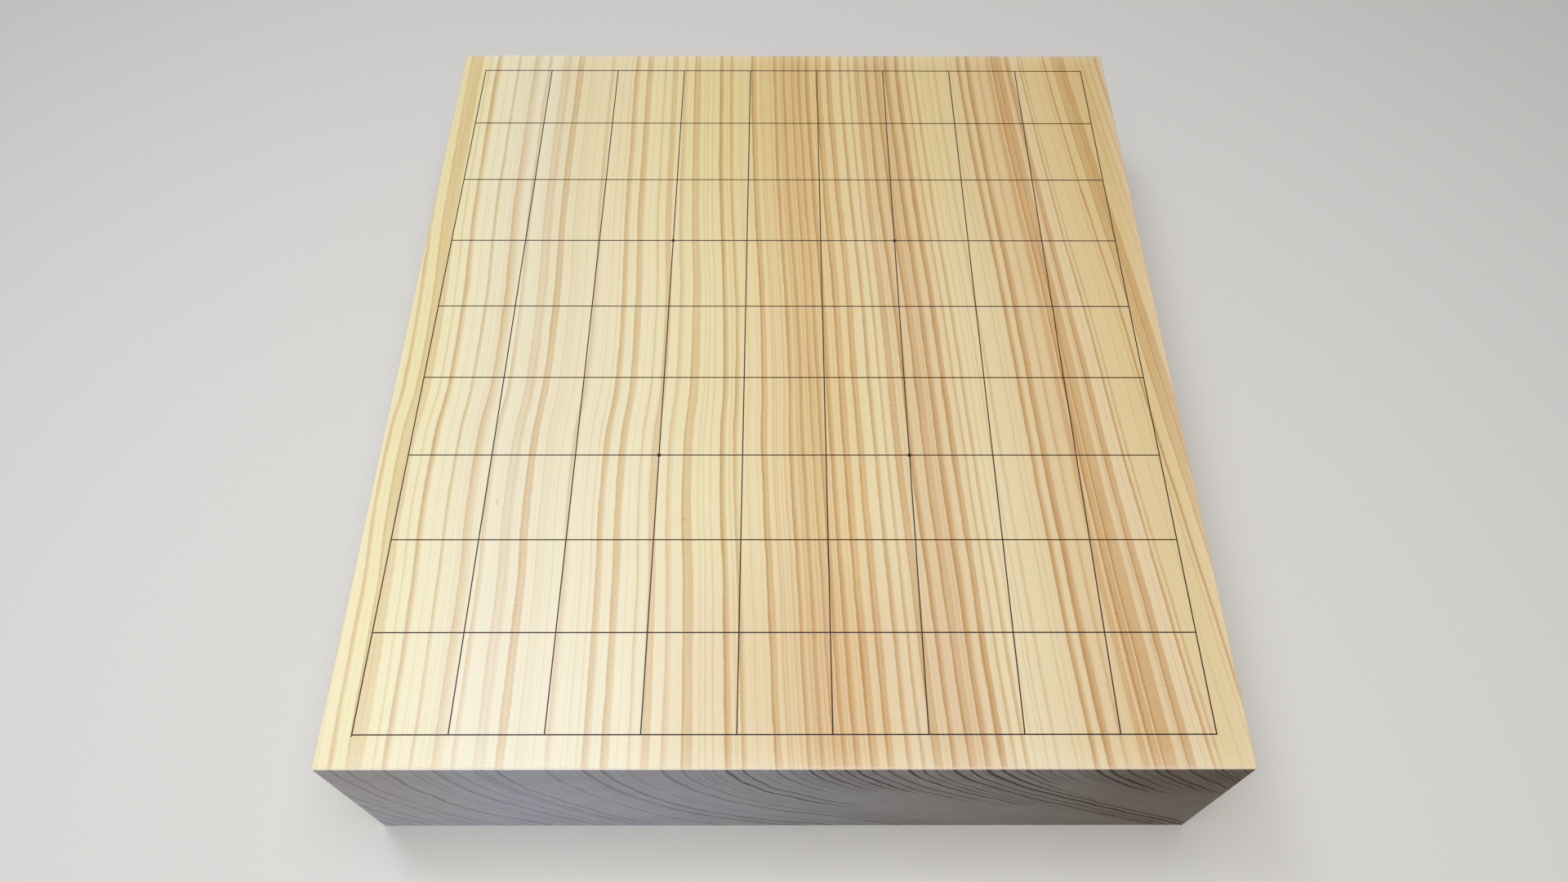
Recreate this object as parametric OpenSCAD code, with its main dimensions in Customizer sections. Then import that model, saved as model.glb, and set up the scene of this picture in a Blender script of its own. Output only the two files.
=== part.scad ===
/* [Playing grid] */
// Width of one square, across the board
cell_w = 34.8; // [30:0.1:40]
// Length of one square, along the board
cell_l = 38.8; // [34:0.1:44]

/* [Block] */
// Bare wood at each long side, from the middle of the outer line to the edge
side_margin = 12.4; // [6:0.1:30]
// Bare wood at each end, from the middle of the outer line to the edge
end_margin = 12.4; // [6:0.1:30]
// Thickness of the block
board_h = 90; // [20:1:200]
// Chamfer that eases every edge of the block
edge_ease = 0.7; // [0.2:0.1:3]

/* [Lacquer lines] */
// Width of a line
line_w = 0.5; // [0.3:0.05:1.5]
// Height of a line above the wood
line_rise = 0.16; // [0.08:0.01:0.4]
// Depth of the cut in the wood that holds a line
line_depth = 0.2; // [0.1:0.01:0.5]
// Chamfer along both top corners of a line
line_ease = 0.06; // [0.02:0.01:0.07]
// How far the left outer line runs past the near line
corner_tail = 0.4; // [0:0.1:2]

/* [Star points] */
// Squares between a star point and the edge of the grid, both ways
star_squares = 3; // [1:1:4]
// Diameter of a star point at its foot
star_d = 1.8; // [1.6:0.05:4]
// Height of a star point above the wood
star_rise = 0.42; // [0.41:0.01:0.8]

/* [Hidden] */
squares = 9;
lines = squares + 1;
grid_w = squares * cell_w;
grid_l = squares * cell_l;
board_w = grid_w + 2 * side_margin;
board_l = grid_l + 2 * end_margin;
star_x = (squares / 2 - star_squares) * cell_w;
star_y = (squares / 2 - star_squares) * cell_l;
// Radius of the ball whose cap has the star point's foot and height
star_r = (star_d * star_d / 4 + star_rise * star_rise) / (2 * star_rise);
// How far cutting bodies run past the faces that they cut
past = 1;

STAR_NAMES = ["star_point_near_left", "star_point_near_right",
              "star_point_far_left", "star_point_far_right"];
STAR_SIDES = [[-1, -1], [1, -1], [-1, 1], [1, 1]];

// Middle of line i, counted from the left or from the near end
function file_x(i) = (i - 1) * cell_w - grid_w / 2;
function rank_y(i) = (i - 1) * cell_l - grid_l / 2;

// Length that line i along the board has beyond the near line
function tail(i) = i == 1 ? corner_tail : 0;

// Rectangle about the origin with its four corners cut off at 45 degrees
module eased_rectangle(w, l, ease) {
    polygon([
        [w / 2 - ease, -l / 2], [w / 2, -l / 2 + ease],
        [w / 2, l / 2 - ease], [w / 2 - ease, l / 2],
        [ease - w / 2, l / 2], [-w / 2, l / 2 - ease],
        [-w / 2, ease - l / 2], [ease - w / 2, -l / 2]
    ]);
}

// Block about the origin with all twelve edges chamfered
module eased_block(w, l, h, ease) {
    intersection() {
        translate([0, 0, -h / 2])
            linear_extrude(h) eased_rectangle(w, l, ease);
        rotate([90, 0, 0]) translate([0, 0, -l / 2])
            linear_extrude(l) eased_rectangle(w, h, ease);
        rotate([90, 0, 90]) translate([0, 0, -w / 2])
            linear_extrude(w) eased_rectangle(l, h, ease);
    }
}

// Box about the Z axis, between two heights
module bar(w, l, low, high) {
    translate([-w / 2, -l / 2, low]) cube([w, l, high - low]);
}

// Cross-section of a line, with the wood's surface at height 0
module line_section() {
    polygon([
        [-line_w / 2, -line_depth], [line_w / 2, -line_depth],
        [line_w / 2, line_rise - line_ease], [line_w / 2 - line_ease, line_rise],
        [line_ease - line_w / 2, line_rise], [-line_w / 2, line_rise - line_ease]
    ]);
}

// Whole stroke along Y, as long as the grid and its outer lines, with a tail at the near end
module stroke_y(tail) {
    l = grid_l + line_w;
    rotate([90, 0, 0]) translate([0, 0, -l / 2]) linear_extrude(l + tail) line_section();
}

// Whole stroke along X, as long as the grid and its outer lines
module stroke_x() {
    l = grid_w + line_w;
    rotate([90, 0, 90]) translate([0, 0, -l / 2]) linear_extrude(l) line_section();
}

// Solid block of softwood with the shallow cuts that hold the lines
module board_slab() {
    color([0.84, 0.72, 0.51])
    difference() {
        translate([0, 0, board_h / 2]) eased_block(board_w, board_l, board_h, edge_ease);
        for (i = [1:lines]) {
            translate([file_x(i), -tail(i) / 2, board_h])
                bar(line_w, grid_l + line_w + tail(i), -line_depth, past);
            translate([0, rank_y(i), board_h])
                bar(grid_w + line_w, line_w, -line_depth, past);
        }
    }
}

// Line along the board, which passes under each line across at the wood's surface
module file_line(i) {
    color([0.13, 0.10, 0.10])
    translate([file_x(i), 0, board_h])
    difference() {
        stroke_y(tail(i));
        for (j = [1:lines])
            translate([0, rank_y(j), 0]) bar(line_w + 2 * past, line_w, 0, past);
    }
}

// Line across the board, which lies over each line along it
module rank_line(j) {
    color([0.13, 0.10, 0.10])
    translate([0, rank_y(j), board_h])
    difference() {
        stroke_x();
        for (i = [1:lines])
            translate([file_x(i), 0, 0]) bar(line_w, line_w + 2 * past, -past, 0);
    }
}

// Drop of lacquer on the crossing of two lines, with room below it for both
module star_point(side) {
    color([0.10, 0.08, 0.08])
    translate([side.x * star_x, side.y * star_y, board_h])
    difference() {
        intersection() {
            translate([0, 0, star_rise - star_r]) sphere(star_r, $fn = 64);
            cylinder(h = star_rise + past, d = star_d + past, $fn = 64);
        }
        stroke_y(0);
        stroke_x();
    }
}

board_slab();
for (i = [1:lines]) {
    file_line(i);
    rank_line(i);
}
for (k = [0:len(STAR_NAMES) - 1])
    star_point(STAR_SIDES[k]);
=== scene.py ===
"""Looks of a tabletop shogi board: a thick block of softwood with a grid of raised lacquer strokes."""
import math
from types import SimpleNamespace

import bmesh
import bpy
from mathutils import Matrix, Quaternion, Vector


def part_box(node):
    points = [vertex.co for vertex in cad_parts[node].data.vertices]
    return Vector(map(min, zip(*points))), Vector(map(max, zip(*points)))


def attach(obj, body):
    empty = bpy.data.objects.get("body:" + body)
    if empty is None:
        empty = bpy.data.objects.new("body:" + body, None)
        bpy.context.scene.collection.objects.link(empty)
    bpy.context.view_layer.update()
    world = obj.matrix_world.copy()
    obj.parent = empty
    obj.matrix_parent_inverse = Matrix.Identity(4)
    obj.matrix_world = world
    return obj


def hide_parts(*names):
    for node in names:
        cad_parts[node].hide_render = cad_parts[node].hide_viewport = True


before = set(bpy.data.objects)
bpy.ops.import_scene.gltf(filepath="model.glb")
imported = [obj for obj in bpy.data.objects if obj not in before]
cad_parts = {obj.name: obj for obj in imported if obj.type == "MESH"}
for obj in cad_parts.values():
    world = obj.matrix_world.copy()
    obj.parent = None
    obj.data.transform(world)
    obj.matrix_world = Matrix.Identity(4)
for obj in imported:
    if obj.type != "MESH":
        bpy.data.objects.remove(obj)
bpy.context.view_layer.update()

MM = 0.001
slab_low, slab_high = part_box("board_slab")
board_w, board_l, board_h = ((slab_high - slab_low) / MM)[:]

# Camera, in mm in the board's frame, as solved from the photograph's grid and corners
CAMERA_AT = Vector((-1.8, -294, 502.9))
CAMERA_AIM = Vector((0.004, 0.538, -0.843))
CAMERA_ROLL = math.radians(0.38)
LENS = 26.15
SENSOR_WIDTH = 36
# The nearest thing that it shows
NEAREST = 10
# Size of the photograph, in pixels
FRAME_WIDTH = 1920
FRAME_HEIGHT = 1080
# Column and row of the photograph that the lens axis meets
AXIS_COLUMN = 960.7
AXIS_ROW = 488.6

# Edges of the block and of the lacquer, in mm, and how many faces round off the round ones
EDGE_CHAMFER = 0.7
EDGE_ARRIS = 0.2
ARRIS_SEGMENTS = 3
STROKE_ROUND = 0.14
STROKE_SEGMENTS = 4
# Lacquer lines each way
LINES = 10
# The strokes along the board lie this much lower than those across it, which went on later
STROKE_LAP = 0.012
STAR_NAMES = ["star_point_near_left", "star_point_near_right",
              "star_point_far_left", "star_point_far_right"]
# Faces round the ball that a star point is the cap of, and from its top to its bottom
BALL_AROUND = 40
BALL_UP = 32

# Growth rings where they meet the near top edge: where each one's dark late wood starts, across the board
# from the middle, how wide it fades to the right, both in mm, and how dark it starts. The first and last
# few lie outside the top and meet only the sides, the ends and the underside.
RINGS = [
    (-204, 3, 0.4), (-199, 2, 0.35), (-193, 3, 0.5), (-186, 2, 0.35), (-180.5, 3, 0.55), (-174, 2, 0.4),
    (-168, 1, 0.3), (-163.3, 2, 0.5), (-157.5, 2, 0.5), (-148, 1, 0.35), (-144.2, 2.6, 0.7),
    (-138.8, 0.8, 0.2), (-134.4, 1.8, 0.48), (-130.6, 0.6, 0.2), (-126.5, 4.5, 0.52), (-119.5, 2.2, 0.42),
    (-111.8, 3.6, 0.33), (-109.2, 2.2, 0.28), (-104.2, 2, 0.58), (-97.4, 1, 0.3), (-90.9, 0.8, 0.2),
    (-86.3, 2.4, 0.38), (-79, 0.8, 0.25), (-75.3, 1, 0.18), (-73, 3.2, 0.6), (-66.5, 3, 0.65),
    (-60.6, 0.6, 0.1), (-57, 1.5, 0.36), (-45, 3, 0.42), (-38, 1.6, 0.65), (-31.4, 0.8, 0.2),
    (-29.5, 0.8, 0.26), (-26.6, 1, 0.25), (-22, 2.8, 0.88), (-18.2, 1, 0.25), (-16, 2.4, 0.62),
    (-10.4, 1.2, 0.22), (-6.2, 1, 0.15), (-4, 1.4, 0.82), (0.8, 1.2, 0.36), (2.2, 1, 0.34),
    (4.1, 0.8, 0.18), (5.6, 1.2, 0.32), (7.9, 2.2, 0.72), (10.9, 1.4, 0.3), (12.7, 2.2, 0.62),
    (15.6, 0.8, 0.32), (17.2, 1.8, 0.52), (19.2, 0.8, 0.2), (20.6, 2, 0.6), (23.2, 0.8, 0.18),
    (24.8, 2.6, 0.78), (28.6, 0.8, 0.25), (30.3, 1.6, 0.88), (35.5, 0.6, 0.14), (36.4, 1.6, 0.88),
    (43.3, 2.4, 0.7), (48.5, 1.6, 0.5), (52.8, 1.5, 0.62), (57.2, 0.8, 0.22), (59.3, 2.6, 0.86),
    (65.2, 2, 0.7), (69.6, 0.8, 0.22), (71.2, 3.2, 0.82), (76.9, 2, 1), (82, 1.4, 0.46),
    (85.9, 2, 0.56), (89.6, 1, 0.24), (92.1, 0.8, 0.2), (93.7, 1, 0.3), (97.2, 1.4, 0.32),
    (104.1, 1, 0.34), (106.6, 1.2, 0.18), (110.3, 2.6, 0.84), (115, 3.2, 1), (121.6, 2, 0.36),
    (127.4, 1, 0.44), (131.4, 1.6, 0.85), (135.1, 2, 0.82), (143.9, 1.5, 0.95), (149.8, 0.8, 0.28),
    (152.7, 1.6, 0.64), (155.2, 1.8, 0.34), (163, 1, 0.14), (168.4, 0.9, 0.3), (170.7, 1.3, 0.75),
    (176.2, 2, 0.52), (180.3, 1.6, 0.7), (190.5, 2, 0.16), (194.1, 1.2, 0.4), (198.3, 2, 0.3),
    (202.6, 2.4, 0.6),
]
# Plainly tinted stretches of late wood: first and last mm, and how dark
BANDS = [
    (-156, -151.5, 0.32), (-128.5, -127, 0.12), (-103.3, -101.1, 0.4), (-96.5, -93.5, 0.1),
    (-72.4, -71, 0.45), (-65.9, -63.6, 0.42), (-52, -49.2, 0.38), (-37, -34, 0.38), (-3.3, -1.3, 0.42),
    (31.5, 33.4, 0.4), (37.5, 39.2, 0.42), (53.6, 56, 0.42), (66.5, 68.5, 0.3), (77.8, 79.3, 0.55),
    (116.3, 117.7, 0.5), (128, 130, 0.4), (133, 134.5, 0.4), (136, 140.3, 0.42), (142.6, 143.8, 0.22),
    (145, 146.9, 0.48), (177.5, 180, 0.34), (181.5, 184.3, 0.45),
]
# A colour ramp holds 32 stops, and one stays spare
MOST_STOPS = 31
# Width of the sharp edge of a ring, and of both edges of a band, in mm
RING_EDGE = 0.35
BAND_EDGE = 0.4
# A broad ring starts with a darker line: how wide, and how dark it and the rest are as shares
LINE_WIDTH = 0.6
LINE_DARK = 1.2
REST_DARK = 0.85
# On the ends a ring is a thin line: this share of its width, and at least this dark
THIN_FADE = 0.65
THIN_DARK = 0.25

# Colour of the early wood, by the same measure across the board
EARLY_WOOD = [
    (-205, "E6D8A8"), (-160, "EDE4B6"), (-110, "ECE5CC"), (-60, "EEE6C8"), (-23, "EBE0BA"), (0, "E8D8AF"),
    (20, "E1C89A"), (33, "E8D5AA"), (47, "E8DBB6"), (68, "DFC6A0"), (88, "E8DBB6"), (113, "E2CFA6"),
    (133, "DFC396"), (150, "E5D2AC"), (159, "E2CD9E"), (187, "DEC592"), (205, "DBC390"),
]
# What is left of it where the wood has turned most golden, and how golden it is along and across the board
GOLDEN = "F8EFD3"
GOLDEN_ALONG = [(-187, 0), (-156, 0.07), (-115, 0.2), (-77, 0.27), (-37, 0.43), (2, 0.5), (42, 0.63),
                (78, 0.8), (117, 0.93), (156, 1), (187, 1)]
GOLDEN_ACROSS = [(-169, 0.8), (-158, 0.6), (-146, 0.1), (-130, 0.15), (-105, 0.75), (-70, 0.88),
                 (-35, 0.95), (0, 0.86), (35, 0.84), (70, 0.92), (105, 0.55), (140, 0.55), (169, 0.58)]
# What late wood leaves of that colour, by how dark it is
LATE_WOOD = [(0, "FFFFFF"), (0.5, "EAD9C4"), (1, "D6BA96")]
# What is left of it where the wood is flushed pink, near the middle of the near end
FLUSHED = "FAF3F1"
FLUSHED_ALONG = [(-187, 0.6), (-156, 1), (-115, 0.45), (-77, 0), (187, 0)]
FLUSHED_ACROSS = [(-169, 0), (-60, 0), (-35, 0.7), (0, 1), (35, 1), (60, 0.5), (90, 0), (169, 0)]
# The ends drink in light: two mottled grey-browns, and what the late wood leaves of them there
END_WOOD = "B0A792"
END_MOTTLE = "A99B8C"
END_RINGS = [(0, "FFFFFF"), (0.25, "E0DFE0"), (0.5, "B1ABAA"), (0.8, "7C6C64"), (1, "5C4A43")]
# What is left of them under painted shade, to the right and towards the top, and under a painted warm light
# tint, at the upper left
PAINTED_SHADE = "D0C4BA"
PAINTED_SHADE_ACROSS = [(-169, 0), (80, 0), (110, 0.3), (140, 0.9), (169, 1)]
PAINTED_SHADE_HIGH = [(0, 0.25), (45, 0.6), (80, 1), (90, 1)]
PAINTED_WARM_LIGHT = "FDF6E8"
PAINTED_WARM_LIGHT_ACROSS = [(-169, 1), (-150, 1), (-125, 0.4), (-105, 0), (169, 0)]
PAINTED_WARM_LIGHT_HIGH = [(0, 0), (15, 0.3), (45, 1), (90, 1)]
# How large the mottles of the end grain are along X, Y and Z, in mm, and the noise that fills them
MOTTLE_SIZE = (14, 60, 9)
MOTTLE_SPREAD = 0.25
# How far a face has to face along the board to start to look like an end, and to look fully so
END_STARTS = 0.75
END_FULL = 0.95
# Edges are painted paler, partly as rubbed wear and partly as a painted highlight, and the margins next to
# them
# faintly paler: by how much, up to which distance from the edge that is full, and where it is gone, in mm.
# The ends get a share of that
PALE_WEAR_AND_HIGHLIGHT = "FFF4E0"
EDGE_PALER = 0.4
EDGE_FULL = 0.4
EDGE_GONE = 1.1
MARGIN_PALER = 0.16
MARGIN_GONE = 9
END_WEAR_AND_HIGHLIGHT = 0.2
# How deep below the top the rings have died out on the ends, by their place across the board, in mm
END_LIFE = [(-205, 120), (-26, 120), (-23, 56), (-14, 54), (-7, 36), (8, 28), (26, 32), (32, 50), (44, 52),
            (54, 60), (57, 120), (80, 120), (83, 18), (105, 20), (110, 30), (150, 34), (205, 34)]
LONGEST_LIFE = 120
# From how far above that depth to how far below it they fade, in mm, and how much of them is gone
DYING_ABOVE = 8
DYING_BELOW = 6
DIED_OUT = 0.85
# How bold the rings are on the ends, across the board
END_BOLD = [(-169, 0.45), (-80, 0.5), (0, 0.8), (60, 1.2), (110, 1.4), (169, 2)]
# Faint rings between the strong ones: how many to a mm, the noise at which one starts and is full, and
# how dark they are along the fibres and on the ends
SLIM_PER_MM = 1.1
SLIM_STARTS = 0.5
SLIM_FULL = 0.75
SLIM_DARK = (0.12, 0.3)
# Rings grow stronger and weaker along their course, over this many mm along X, Y and Z: by how much
# along the fibres and on the ends
CHANGE_SIZE = (5, 60, 9)
CHANGE = (0.8, 1.2)
# Short flecks in the late wood: their size in mm, and how much darker and paler they make it
FLECK_SIZE = (0.45, 1.1, 0.45)
FLECK = 1.1
# Fibres all over: their size in mm, how dark along the fibres and cut open on the ends, and how raised
FIBRE_SIZE = (0.4, 14, 0.4)
FIBRE = (0.16, 0.4)
FIBRE_RELIEF = 0.5
# Short resin streaks in the top: X and Y, half the width and half the length, all in mm, and how dark
FLAWS = [(-116.6, -80, 0.4, 2.2, 0.8), (-40.4, -88, 0.4, 1.6, 0.5), (145.4, -103.5, 0.8, 0.4, 1.5)]
# The share of a streak's size within which it is fully dark
FLAW_CORE = 0.2

# How far the fibres lean to the left by the far edge, by the same measure across the board, in mm
LEAN = [(-205, 9.5), (-152, 8.4), (-137, 7), (-120, 5.4), (-105, 4.9), (-60, 6), (-30, 11), (-10, 13),
        (40, 13.4), (53, 16), (70, 17.9), (103, 18.1), (119, 19), (137, 26), (157, 31.8), (176, 34.7),
        (210, 39)]
# How they wave along the board, in its left and right parts, in mm
WAVE_LEFT = [(-187, 0.4), (-118, 0.3), (-75, -1), (-52, -0.7), (-19, 1.7), (14, 2.1), (47, 1.3),
             (100, 0.1), (187, 0.6)]
WAVE_RIGHT = [(-187, 0.3), (-118, -0.9), (-52, -1.3), (14, -1), (100, -1.8), (187, 0.1)]
# Where across the board the left part ends and the right part starts, in mm
LEFT_ENDS = -50
RIGHT_STARTS = 30
# How far a ring has moved to the right by the underside, by its place across the board, in mm
DIVE = [(-169, 28), (-131, 34), (-98, 46), (-62, 49), (-11, 68), (25, 89), (61, 96), (169, 98)]
# It moves as this power of the depth, at the left and at the right side
BEND_LEFT = 1.75
BEND_RIGHT = 1.22
# How the rings stray: the size of the noise along X, Y and Z, and how far it moves them along the fibres
# and on the ends, all in mm. A slow sway, a tremble and ragged edges, the last two calmer on the ends
STRAYS = [((14, 90, 14), 1.6, 1.6), ((2.5, 22, 2.5), 0.7, 0.25), ((0.8, 3, 0.8), 0.4, 0.2)]
# Under the top they also run crooked: the size of that noise, how far it moves them, and the depth from
# which it does so fully
CROOKED_SIZE = (18, 60, 14)
CROOKED = 4
CROOKED_DEPTH = 25

# Wax: roughness over early wood, how much smoother late wood and how much rougher the ends are, how strong
# its shine is along the fibres and on the ends, how high the wood's relief is, in mm, and how much of
# it shows
WAX_IOR = 1.46
WAX_ROUGH = 0.36
LATE_SMOOTHER = 0.08
END_ROUGHER = 0.35
WAX_SHINE = (0.5, 0.18)
WOOD_RELIEF = 0.02
WOOD_BUMP = 0.3
# Lacquer: its blotches and ripples to a mm, how much rougher a blotch is, how high a ripple is, in mm,
# and how much of that shows
LACQUER_IOR = 1.5
BLOTCHES_PER_MM = 0.35
BLOTCH_ROUGHER = 0.12
RIPPLES_PER_MM = 1.6
RIPPLE_HEIGHT = 0.03
RIPPLE_BUMP = 0.4

# Backdrop, and how bright it looks and how much light it gives
BACKDROP = "F4F4F6"
BACKDROP_LEVEL = 0.55
WORLD_LEVEL = 0.25
# Floor as it is looked at and as it throws light back, how rough it is, its radius, and between which
# distances from the board's middle it melts into the backdrop, the last three in m
FLOOR_SEEN = "E4E2DE"
FLOOR_LIT = "8E8E92"
FLOOR_ROUGH = 0.9
FLOOR_RADIUS = 12
MELT_STARTS = 0.7
MELT_ENDS = 2


def linear(text):
    """Linear colour from sRGB hex."""
    parts = [int(text[i:i + 2], 16) / 255 for i in (0, 2, 4)]
    return [c / 12.92 if c <= 0.04045 else ((c + 0.055) / 1.055) ** 2.4 for c in parts] + [1]


def grey(level):
    return [level, level, level, 1]


def coloured(stops):
    """Stops with linear colours in place of their hex ones."""
    return [(place, linear(text)) for place, text in stops]


def feed(tree, node, inputs):
    """Feeds a node's inputs, each with a value, a socket or a node, whose first output is taken."""
    for name, value in inputs.items():
        if isinstance(value, bpy.types.Node):
            value = value.outputs[0]
        if isinstance(value, bpy.types.NodeSocket):
            tree.links.new(value, node.inputs[name])
        else:
            node.inputs[name].default_value = value


def add(tree, kind, inputs=None, stops=None, points=None, **settings):
    """Adds a node, sets it and feeds its inputs. Stops fill a colour ramp and points a curve, both over
    0 to 1."""
    node = tree.nodes.new("ShaderNode" + kind)
    for name, value in settings.items():
        setattr(node, name, value)
    feed(tree, node, inputs or {})
    if stops:
        ramp = node.color_ramp.elements
        while len(ramp) < len(stops):
            ramp.new(1)
        for mark, (place, colour) in zip(ramp, stops):
            mark.position = place
            mark.color = colour
    if points:
        curve = node.mapping.curves[0].points
        while len(curve) < len(points):
            curve.new(1, 1)
        for mark, place in zip(curve, points):
            mark.location = place
        node.mapping.update()
    return node


def through(tree, value, points):
    """Smooth curve through points, read at a value in mm."""
    first, last = points[0][0], points[-1][0]
    lowest, highest = min(y for _, y in points), max(y for _, y in points)
    share = add(tree, "MapRange", {"Value": value, "From Min": first, "From Max": last})
    shape = [((x - first) / (last - first), (y - lowest) / (highest - lowest)) for x, y in points]
    curve = add(tree, "FloatCurve", {"Value": share}, points=shape)
    return add(tree, "MapRange", {"Value": curve, "To Min": lowest, "To Max": highest})


def between(tree, value, stops):
    """Colour between the stops on both sides of a value in mm."""
    first, last = stops[0][0], stops[-1][0]
    share = add(tree, "MapRange", {"Value": value, "From Min": first, "From Max": last})
    shape = [((place - first) / (last - first), colour) for place, colour in stops]
    return add(tree, "ValToRGB", {"Fac": share}, stops=shape)


def stretched(tree, mm, size, **settings):
    """Noise whose grains have a size in mm along X, Y and Z. It is about 0 on average."""
    place = add(tree, "VectorMath", {0: mm, 1: [1 / s for s in size]}, operation="MULTIPLY")
    noise = add(tree, "TexNoise", {"Vector": place, "Scale": 1, **settings})
    return add(tree, "Math", {0: noise, 1: 0.5}, operation="SUBTRACT")


def material(name):
    """New material with its tree and its shader."""
    made = bpy.data.materials.new(name)
    made.use_nodes = True
    return made, made.node_tree, made.node_tree.nodes["Principled BSDF"]


def place_mm(tree):
    """Place in the board's frame, in mm."""
    point = add(tree, "TexCoord").outputs["Object"]
    return add(tree, "VectorMath", {0: point, "Scale": 1 / MM}, operation="SCALE")


def survey(tree):
    """What the wood's look depends on: the place in mm, as a whole and by X, Y and Z, how far the face is
    an end, where the wood is cut across its fibres, from 0 to 1, and the place across the rings."""
    at = SimpleNamespace(mm=place_mm(tree))
    at.x, at.y, at.z = add(tree, "SeparateXYZ", {0: at.mm}).outputs
    facing = add(tree, "VectorMath", {0: add(tree, "NewGeometry").outputs["Normal"]}, operation="ABSOLUTE")
    facing = add(tree, "SeparateXYZ", {0: facing}).outputs["Y"]
    at.end = add(tree, "MapRange", {"Value": facing, "From Min": END_STARTS, "From Max": END_FULL})
    at.across = across_rings(tree, at)
    return at


def by_cut(tree, at, along, on_ends):
    """One value where the wood is cut along its fibres, and another one on the ends."""
    return add(tree, "MapRange", {"Value": at.end, "To Min": along, "To Max": on_ends})


def straying(tree, at):
    """How far the rings stray from a smooth course, in mm."""
    total = 0.0
    for size, along, on_ends in STRAYS:
        most = by_cut(tree, at, along, on_ends)
        noise = stretched(tree, at.mm, size, Detail=1)
        total = add(tree, "Math", {0: noise, 1: most, 2: total}, operation="MULTIPLY_ADD")
    below = add(tree, "MapRange", {"Value": at.z, "From Min": board_h, "From Max": board_h - CROOKED_DEPTH,
                                   "To Max": CROOKED})
    crooked = stretched(tree, at.mm, CROOKED_SIZE, Detail=1)
    return add(tree, "Math", {0: crooked, 1: below, 2: total}, operation="MULTIPLY_ADD")


def across_rings(tree, at):
    """Place across the growth rings, in mm, equal to X at the near top edge. The same rings then run
    over the top, curve down through both ends and come out on the sides and the underside."""
    along = add(tree, "MapRange", {"Value": at.y, "From Min": -board_l / 2, "From Max": board_l / 2})
    depth = add(tree, "MapRange", {"Value": at.z, "From Min": board_h, "From Max": 0})
    bend = add(tree, "MapRange", {"Value": at.x, "From Min": -board_w / 2, "From Max": board_w / 2,
                                  "To Min": BEND_LEFT, "To Max": BEND_RIGHT})
    dive = add(tree, "Math", {0: depth, 1: bend}, operation="POWER")
    dive = add(tree, "Math", {0: dive, 1: through(tree, at.x, DIVE)}, operation="MULTIPLY")
    flat = add(tree, "Math", {0: at.x, 1: dive}, operation="SUBTRACT")
    # A second step brings the lean of the fibre that passes here, and not of one beside it
    lean = add(tree, "Math", {0: through(tree, flat, LEAN), 1: along, 2: flat}, operation="MULTIPLY_ADD")
    lean = add(tree, "Math", {0: through(tree, lean, LEAN), 1: along, 2: flat}, operation="MULTIPLY_ADD")
    side = add(tree, "MapRange", {"Value": lean, "From Min": LEFT_ENDS, "From Max": RIGHT_STARTS},
               interpolation_type="SMOOTHSTEP")
    wave = add(tree, "Mix", {0: side, 2: through(tree, at.y, WAVE_LEFT), 3: through(tree, at.y, WAVE_RIGHT)})
    straight = add(tree, "Math", {0: lean, 1: wave}, operation="SUBTRACT")
    return add(tree, "Math", {0: straight, 1: straying(tree, at)}, operation="ADD")


def faded(shape, place):
    """Level of a falling shape at a place, and 0 beyond its end."""
    for (before, high), (after, low) in zip(shape, shape[1:]):
        if place < after:
            return high + (low - high) * (place - before) / (after - before)
    return 0


def ring_stops(rings):
    """Stops, in mm, for late wood that starts sharply and fades to the right, or up to the next ring."""
    stops = []
    level = 0
    for (start, fade, dark), following in zip(rings, rings[1:] + [(math.inf, 0, 0)]):
        peak = start + RING_EDGE
        shape = [(peak, dark), (peak + fade, 0)]
        if fade > 2 * LINE_WIDTH:
            shape = [(peak, min(1, LINE_DARK * dark)), (peak + LINE_WIDTH, REST_DARK * dark),
                     (peak + fade, 0)]
        stops += [(start, level)] + [stop for stop in shape if stop[0] < following[0]]
        level = faded(shape, following[0])
    return stops


def band_stops(bands):
    """Stops, in mm, for bands with soft edges."""
    stops = []
    for first, last, dark in bands:
        stops += [(first - BAND_EDGE, 0), (first, dark), (last, dark), (last + BAND_EDGE, 0)]
    return stops


def thin_stops(rings):
    """Stops, in mm, for the same rings as thin lines."""
    return ring_stops([(start, THIN_FADE * fade, THIN_DARK + (1 - THIN_DARK) * dark)
                       for start, fade, dark in rings])


def marks_at(tree, across, marks, as_stops):
    """How dark the marks are at a place across the rings. They are shared out over several colour ramps,
    because one holds few stops and is too coarse for the whole width."""
    total = 0.0
    part = []
    for mark in marks + [None]:
        if mark and len(as_stops(part + [mark])) <= MOST_STOPS:
            part.append(mark)
            continue
        dark = between(tree, across, [(place, grey(level)) for place, level in as_stops(part)])
        total = add(tree, "Math", {0: total, 1: dark}, operation="MAXIMUM")
        part = [mark]
    return total


def late_wood(tree, at):
    """How dark the late wood is: rings and bands along the fibres, and thin lines on the ends."""
    along = add(tree, "Math", {0: marks_at(tree, at.across, RINGS, ring_stops),
                               1: marks_at(tree, at.across, BANDS, band_stops)}, operation="MAXIMUM")
    return add(tree, "Mix", {0: at.end, 2: along, 3: marks_at(tree, at.across, RINGS, thin_stops)})


def slim_rings(tree, at):
    """How dark the faint rings between the strong ones are."""
    place = add(tree, "Math", {0: at.across, 1: SLIM_PER_MM}, operation="MULTIPLY")
    noise = add(tree, "TexNoise", {"W": place, "Scale": 1, "Detail": 1}, noise_dimensions="1D")
    return add(tree, "MapRange", {"Value": noise, "From Min": SLIM_STARTS, "From Max": SLIM_FULL,
                                  "To Max": by_cut(tree, at, *SLIM_DARK)})


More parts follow.
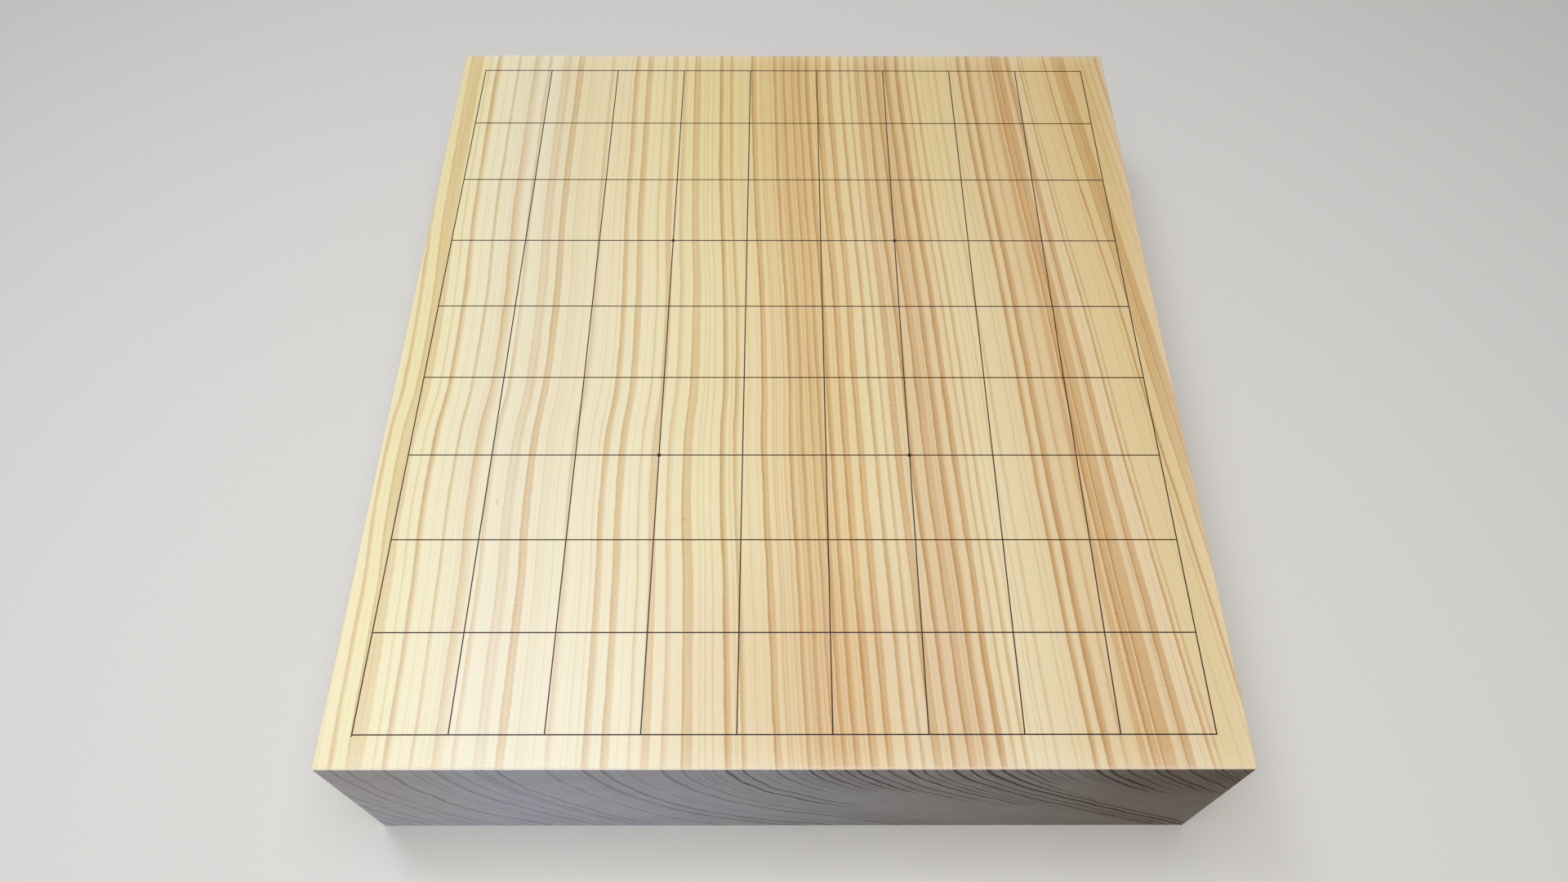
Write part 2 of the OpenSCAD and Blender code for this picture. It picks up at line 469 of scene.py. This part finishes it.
def boldness(tree, at):
    """Strength of the rings, which changes along each ring, and on the ends grows to the right."""
    bold = add(tree, "Mix", {0: at.end, 2: 1, 3: through(tree, at.x, END_BOLD)})
    change = stretched(tree, at.mm, CHANGE_SIZE, Detail=2)
    change = add(tree, "Math", {0: change, 1: by_cut(tree, at, *CHANGE), 2: 1}, operation="MULTIPLY_ADD")
    return add(tree, "Math", {0: bold, 1: change}, operation="MULTIPLY")


def still_alive(tree, at):
    """What is left of the rings on the ends, where some die out part-way down."""
    life = between(tree, at.across, [(place, grey(deep / LONGEST_LIFE)) for place, deep in END_LIFE])
    life = add(tree, "Math", {0: life, 1: LONGEST_LIFE}, operation="MULTIPLY")
    depth = add(tree, "Math", {0: board_h, 1: at.z}, operation="SUBTRACT")
    over = add(tree, "Math", {0: depth, 1: life}, operation="SUBTRACT")
    gone = add(tree, "MapRange", {"Value": over, "From Min": -DYING_ABOVE, "From Max": DYING_BELOW,
                                  "To Max": DIED_OUT})
    gone = add(tree, "Math", {0: gone, 1: at.end}, operation="MULTIPLY")
    return add(tree, "Math", {0: 1, 1: gone}, operation="SUBTRACT")


def flaws(tree, at):
    """How dark the few short streaks in the top are."""
    total = 0.0
    for x, y, half_width, half_length, dark in FLAWS:
        away = add(tree, "VectorMath", {0: at.mm, 1: (x, y, board_h)}, operation="SUBTRACT")
        away = add(tree, "VectorMath", {0: away, 1: (1 / half_width, 1 / half_length, 1)},
                   operation="MULTIPLY")
        away = add(tree, "VectorMath", {0: away}, operation="LENGTH").outputs["Value"]
        spot = add(tree, "MapRange", {"Value": away, "From Min": 1, "From Max": FLAW_CORE, "To Max": dark})
        total = add(tree, "Math", {0: total, 1: spot}, operation="ADD")
    return total


def darkness(tree, at, fibre):
    """How dark the wood is, from 0 for early wood to 1 for the darkest late wood."""
    dark = add(tree, "Math", {0: late_wood(tree, at), 1: slim_rings(tree, at)}, operation="ADD")
    dark = add(tree, "Math", {0: dark, 1: boldness(tree, at)}, operation="MULTIPLY")
    dark = add(tree, "Math", {0: dark, 1: still_alive(tree, at)}, operation="MULTIPLY")
    fleck = stretched(tree, at.mm, FLECK_SIZE, Detail=1)
    fleck = add(tree, "Math", {0: fleck, 1: FLECK, 2: 1}, operation="MULTIPLY_ADD")
    dark = add(tree, "Math", {0: dark, 1: fleck, 2: flaws(tree, at)}, operation="MULTIPLY_ADD")
    return add(tree, "Math", {0: fibre, 1: by_cut(tree, at, *FIBRE), 2: dark},
               operation="MULTIPLY_ADD", use_clamp=True)


def tinted(tree, wood, tint, first, second):
    """Wood multiplied by a tint, as much as the product of two curves says, each with its value in mm."""
    much = add(tree, "Math", {0: through(tree, *first), 1: through(tree, *second)}, operation="MULTIPLY")
    return add(tree, "Mix", {0: much, 6: wood, 7: linear(tint)},
               data_type="RGBA", blend_type="MULTIPLY").outputs[2]


def early_colour(tree, at):
    """Colour of the early wood, by the ring and by where on the board it is."""
    early = between(tree, at.across, coloured(EARLY_WOOD))
    early = tinted(tree, early, GOLDEN, (at.y, GOLDEN_ALONG), (at.x, GOLDEN_ACROSS))
    return tinted(tree, early, FLUSHED, (at.y, FLUSHED_ALONG), (at.x, FLUSHED_ACROSS))


def end_colour(tree, at):
    """Colour of the end grain between its rings, mottled, with painted shade to the right and towards the
    top, and a painted warm light tint at the upper left.
    """
    mottle = stretched(tree, at.mm, MOTTLE_SIZE, Detail=3)
    mottle = add(tree, "MapRange", {"Value": mottle, "From Min": -MOTTLE_SPREAD, "From Max": MOTTLE_SPREAD})
    ends = add(tree, "Mix", {0: mottle, 6: linear(END_WOOD), 7: linear(END_MOTTLE)},
               data_type="RGBA").outputs[2]
    # Painted shade: the ends are darkened to the right and towards the top
    ends = tinted(tree, ends, PAINTED_SHADE, (at.x, PAINTED_SHADE_ACROSS), (at.z, PAINTED_SHADE_HIGH))
    # Painted warm light tint: the upper left of the ends is made warmer and a little darker
    return tinted(tree, ends, PAINTED_WARM_LIGHT, (at.x, PAINTED_WARM_LIGHT_ACROSS), (at.z, PAINTED_WARM_LIGHT_HIGH))


def worn_and_highlit(tree, at):
    """How much the wood is painted paler: fully on the edges, as wear and as a painted highlight, faintly on
    the margins, hardly on the ends.
    """
    half = Vector((board_w, board_l, board_h)) / 2
    outward = add(tree, "VectorMath", {0: at.mm, 1: (0, 0, board_h / 2)}, operation="SUBTRACT")
    outward = add(tree, "VectorMath", {0: outward}, operation="ABSOLUTE")
    inward = add(tree, "VectorMath", {0: half, 1: outward}, operation="SUBTRACT")
    x, y, z = add(tree, "SeparateXYZ", {0: inward}).outputs
    # The least distance to a face is 0 everywhere, and the next one is the distance to the edge
    less = add(tree, "Math", {0: x, 1: y}, operation="MINIMUM")
    more = add(tree, "Math", {0: x, 1: y}, operation="MAXIMUM")
    more = add(tree, "Math", {0: more, 1: z}, operation="MINIMUM")
    away = add(tree, "Math", {0: less, 1: more}, operation="MAXIMUM")
    edge = add(tree, "MapRange", {"Value": away, "From Min": EDGE_FULL, "From Max": EDGE_GONE,
                                  "To Min": EDGE_PALER, "To Max": 0})
    margin = add(tree, "MapRange", {"Value": away, "From Max": MARGIN_GONE,
                                    "To Min": MARGIN_PALER, "To Max": 0})
    paler = add(tree, "Math", {0: edge, 1: margin}, operation="ADD")
    return add(tree, "Math", {0: paler, 1: by_cut(tree, at, 1, END_WEAR_AND_HIGHLIGHT)}, operation="MULTIPLY")


def wood_colour(tree, at, dark):
    """Colour of the wood: early wood, what the late wood leaves of it, and the edges painted paler, partly
    for wear and partly as a highlight.
    """
    early = add(tree, "Mix", {0: at.end, 6: early_colour(tree, at), 7: end_colour(tree, at)},
                data_type="RGBA").outputs[2]
    late_along = add(tree, "ValToRGB", {"Fac": dark}, stops=coloured(LATE_WOOD))
    late_on_ends = add(tree, "ValToRGB", {"Fac": dark}, stops=coloured(END_RINGS))
    late = add(tree, "Mix", {0: at.end, 6: late_along, 7: late_on_ends}, data_type="RGBA").outputs[2]
    wood = add(tree, "Mix", {0: 1, 6: early, 7: late}, data_type="RGBA", blend_type="MULTIPLY").outputs[2]
    # The edges are painted paler here: partly wear, partly a painted highlight
    return add(tree, "Mix", {0: worn_and_highlit(tree, at), 6: wood, 7: linear(PALE_WEAR_AND_HIGHLIGHT)}, data_type="RGBA").outputs[2]


def waxed_softwood():
    """Pale softwood, planed and waxed. It gives the eye straight rings with a sharp dark edge, flecked late
    wood, a faint silky fibre, greyer end grain with crooked rings, and a satin shine."""
    made, tree, shader = material("waxed_softwood")
    at = survey(tree)
    fibre = stretched(tree, at.mm, FIBRE_SIZE, Detail=2)
    dark = darkness(tree, at, fibre)
    rough = add(tree, "Math", {0: dark, 1: -LATE_SMOOTHER, 2: WAX_ROUGH}, operation="MULTIPLY_ADD")
    rough = add(tree, "Math", {0: at.end, 1: END_ROUGHER, 2: rough}, operation="MULTIPLY_ADD")
    relief = add(tree, "Math", {0: fibre, 1: FIBRE_RELIEF, 2: dark}, operation="MULTIPLY_ADD")
    bump = add(tree, "Bump", {"Height": relief, "Strength": WOOD_BUMP, "Distance": WOOD_RELIEF * MM})
    feed(tree, shader, {"Base Color": wood_colour(tree, at, dark), "Roughness": rough,
                        "Specular IOR Level": by_cut(tree, at, *WAX_SHINE), "IOR": WAX_IOR,
                        "Normal": bump})
    return made


def lacquer(name, body, edge, rough):
    """Black natural lacquer. It gives the eye a soft wet shine over a brown-black that is never quite
    even."""
    made, tree, shader = material(name)
    mm = place_mm(tree)
    blotch = add(tree, "TexNoise", {"Vector": mm, "Scale": BLOTCHES_PER_MM, "Detail": 3})
    colour = add(tree, "Mix", {0: blotch, 6: linear(body), 7: linear(edge)}, data_type="RGBA").outputs[2]
    gloss = add(tree, "MapRange", {"Value": blotch, "To Min": rough, "To Max": rough + BLOTCH_ROUGHER})
    ripple = add(tree, "TexNoise", {"Vector": mm, "Scale": RIPPLES_PER_MM, "Detail": 2})
    bump = add(tree, "Bump", {"Height": ripple, "Strength": RIPPLE_BUMP, "Distance": RIPPLE_HEIGHT * MM})
    feed(tree, shader, {"Base Color": colour, "Roughness": gloss, "IOR": LACQUER_IOR, "Normal": bump})
    return made


def box_of(node):
    """Low and high corner of a node's box, in mm."""
    low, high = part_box(node)
    return low / MM, high / MM


def made_of(name, mesh, made):
    """Object at the origin from a bmesh, with its material."""
    data = bpy.data.meshes.new(name)
    mesh.to_mesh(data)
    mesh.free()
    data.materials.append(made)
    piece = bpy.data.objects.new(name, data)
    bpy.context.collection.objects.link(piece)
    return piece


def finished(name, mesh, made, node):
    """Object from a bmesh in mm, which stands for a node of the frame."""
    bmesh.ops.recalc_face_normals(mesh, faces=mesh.faces)
    bmesh.ops.scale(mesh, vec=(MM, MM, MM), verts=mesh.verts)
    piece = made_of(name, mesh, made)
    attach(piece, "root")
    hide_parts(node)
    return piece


def bar_from(node):
    """Bar as large as a node's box, in mm, and the height of its top."""
    low, high = box_of(node)
    mesh = bmesh.new()
    bmesh.ops.create_cube(mesh, size=1)
    bmesh.ops.scale(mesh, vec=high - low, verts=mesh.verts)
    bmesh.ops.translate(mesh, vec=(low + high) / 2, verts=mesh.verts)
    return mesh, high.z


def ease(mesh, edges, width, segments):
    """Bevels edges, and smooths the new faces where they are round."""
    new = bmesh.ops.bevel(mesh, geom=edges, offset=width, segments=segments, profile=0.5,
                          affect="EDGES", material=-1)
    for face in new["faces"]:
        face.smooth = segments > 1


def board(wood):
    """Block with a flat chamfer round every edge, whose own edges are rubbed soft."""
    mesh, _ = bar_from("board_slab")
    ease(mesh, mesh.edges[:], EDGE_CHAMFER, 1)
    ease(mesh, mesh.edges[:], EDGE_ARRIS, ARRIS_SEGMENTS)
    return finished("board", mesh, wood, "board_slab")


def stroke(way, i, black):
    """Raised stroke of lacquer: a bar with round shoulders."""
    node = f"{way}_line_{i}"
    mesh, top = bar_from(node)
    upper = [edge for edge in mesh.edges if all(v.co.z > top - STROKE_ROUND for v in edge.verts)]
    ease(mesh, upper, STROKE_ROUND, STROKE_SEGMENTS)
    if way == "file":
        bmesh.ops.translate(mesh, vec=(0, 0, -STROKE_LAP), verts=mesh.verts)
    return finished(f"{way}_stroke_{i}", mesh, black, node)


def drop(node, black):
    """Round drop of lacquer: the cap of a ball, cut off at the wood."""
    low, high = box_of(node)
    rise = high.z - board_h
    half = (high.x - low.x) / 2
    ball = (half * half + rise * rise) / (2 * rise)
    middle = ((low.x + high.x) / 2, (low.y + high.y) / 2, high.z - ball)
    mesh = bmesh.new()
    bmesh.ops.create_uvsphere(mesh, u_segments=BALL_AROUND, v_segments=BALL_UP, radius=ball)
    bmesh.ops.translate(mesh, vec=middle, verts=mesh.verts)
    for face in mesh.faces:
        face.smooth = True
    cut = bmesh.ops.bisect_plane(mesh, geom=mesh.verts[:] + mesh.edges[:] + mesh.faces[:],
                                 plane_co=(0, 0, board_h), plane_no=(0, 0, -1), clear_outer=True)
    rim = [part for part in cut["geom_cut"] if isinstance(part, bmesh.types.BMEdge)]
    bmesh.ops.contextual_create(mesh, geom=rim)
    return finished(node.replace("point", "drop"), mesh, black, node)


def looked_at(tree):
    """1 for what the camera, the gloss or glass looks at, and 0 for what lights matt surfaces."""
    path = add(tree, "LightPath").outputs
    seen = add(tree, "Math", {0: path["Is Camera Ray"], 1: path["Is Glossy Ray"]}, operation="MAXIMUM")
    return add(tree, "Math", {0: seen, 1: path["Is Transmission Ray"]}, operation="MAXIMUM")


def pale_paint():
    """Matt floor paint. It looks pale, but throws less light up at the sides, and far from the board it
    melts into the backdrop."""
    made, tree, shader = material("pale_floor")
    seen = looked_at(tree)
    away = add(tree, "VectorMath", {0: add(tree, "TexCoord").outputs["Object"]}, operation="LENGTH")
    far = add(tree, "MapRange", {"Value": away.outputs["Value"], "From Min": MELT_STARTS,
                                 "From Max": MELT_ENDS}, interpolation_type="SMOOTHSTEP")
    melted = add(tree, "Math", {0: far, 1: seen}, operation="MULTIPLY")
    colour = add(tree, "Mix", {0: seen, 6: linear(FLOOR_LIT), 7: linear(FLOOR_SEEN)}, data_type="RGBA")
    colour = add(tree, "Mix", {0: melted, 6: colour.outputs[2], 7: grey(0)}, data_type="RGBA")
    glow = add(tree, "Math", {0: melted, 1: BACKDROP_LEVEL}, operation="MULTIPLY")
    feed(tree, shader, {"Base Color": colour.outputs[2], "Roughness": FLOOR_ROUGH,
                        "Specular IOR Level": 0, "Emission Color": linear(BACKDROP),
                        "Emission Strength": glow})
    return made


def pale_floor():
    """Wide, plain floor under the board."""
    mesh = bmesh.new()
    bmesh.ops.create_circle(mesh, cap_ends=True, segments=96, radius=FLOOR_RADIUS)
    floor = made_of("floor", mesh, pale_paint())
    return floor


def plain_world():
    """Dim even light all round, behind which the camera and the gloss see a pale backdrop."""
    world = bpy.data.worlds.new("studio")
    world.use_nodes = True
    tree = world.node_tree
    strength = add(tree, "MapRange", {"Value": looked_at(tree), "To Min": WORLD_LEVEL,
                                      "To Max": BACKDROP_LEVEL})
    feed(tree, tree.nodes["Background"], {"Color": linear(BACKDROP), "Strength": strength})
    bpy.context.scene.world = world


def soft_lamp(name, at, towards, size, watts, colour, mirrored=True):
    """Rectangular soft lamp, with places and sizes in mm. It shows in gloss where it is mirrored."""
    lamp = bpy.data.lights.new(name, "AREA")
    lamp.shape = "RECTANGLE"
    lamp.size, lamp.size_y = [side * MM for side in size]
    lamp.energy = watts
    lamp.color = linear(colour)[:3]
    made = bpy.data.objects.new(name, lamp)
    made.location = Vector(at) * MM
    made.rotation_euler = (Vector(towards) - Vector(at)).to_track_quat("-Z", "Y").to_euler()
    made.visible_camera = False
    made.visible_glossy = mirrored
    bpy.context.collection.objects.link(made)
    return made


def leave_out(lamp, floor):
    """Keeps a lamp that stands close to the floor from burning a bright patch into it."""
    unlit = bpy.data.collections.new("unlit")
    unlit.objects.link(floor)
    unlit.collection_objects[0].light_linking.link_state = "EXCLUDE"
    lamp.light_linking.receiver_collection = unlit


def camera():
    """Camera at the photograph's place, with the shift that its framing needs."""
    data = bpy.data.cameras.new("camera")
    data.sensor_width = SENSOR_WIDTH
    data.lens = LENS
    data.shift_x = (FRAME_WIDTH / 2 - AXIS_COLUMN) / FRAME_WIDTH
    data.shift_y = (AXIS_ROW - FRAME_HEIGHT / 2) / FRAME_WIDTH
    data.clip_start = NEAREST * MM
    made = bpy.data.objects.new("camera", data)
    made.location = CAMERA_AT * MM
    made.rotation_mode = "QUATERNION"
    made.rotation_quaternion = CAMERA_AIM.to_track_quat("-Z", "Y") @ Quaternion((0, 0, 1), CAMERA_ROLL)
    bpy.context.collection.objects.link(made)
    bpy.context.scene.camera = made


camera()
plain_world()
floor = pale_floor()
soft_lamp("overhead", at=(-20, -235, 1120), towards=(0, 0, 90), size=(740, 740), watts=8.4,
          colour="FFFEFC", mirrored=False)
soft_lamp("window", at=(-390, 100, 1090), towards=(-110, -170, 90), size=(250, 300), watts=2.5,
          colour="E6EEFF")
cool = soft_lamp("cool_front", at=(-130, -325, 36), towards=(-130, -187, 32), size=(240, 26), watts=0.235,
                 colour="AEC8FF")
leave_out(cool, floor)
bpy.context.scene.view_settings.view_transform = "Standard"

wood = waxed_softwood()
stroke_black = lacquer("satin_black_lacquer", body="2E1C14", edge="3A251A", rough=0.36)
drop_black = lacquer("glossy_black_lacquer", body="1E1410", edge="281A14", rough=0.2)
board(wood)
for way in ("file", "rank"):
    for i in range(1, LINES + 1):
        stroke(way, i, stroke_black)
for node in STAR_NAMES:
    drop(node, drop_black)
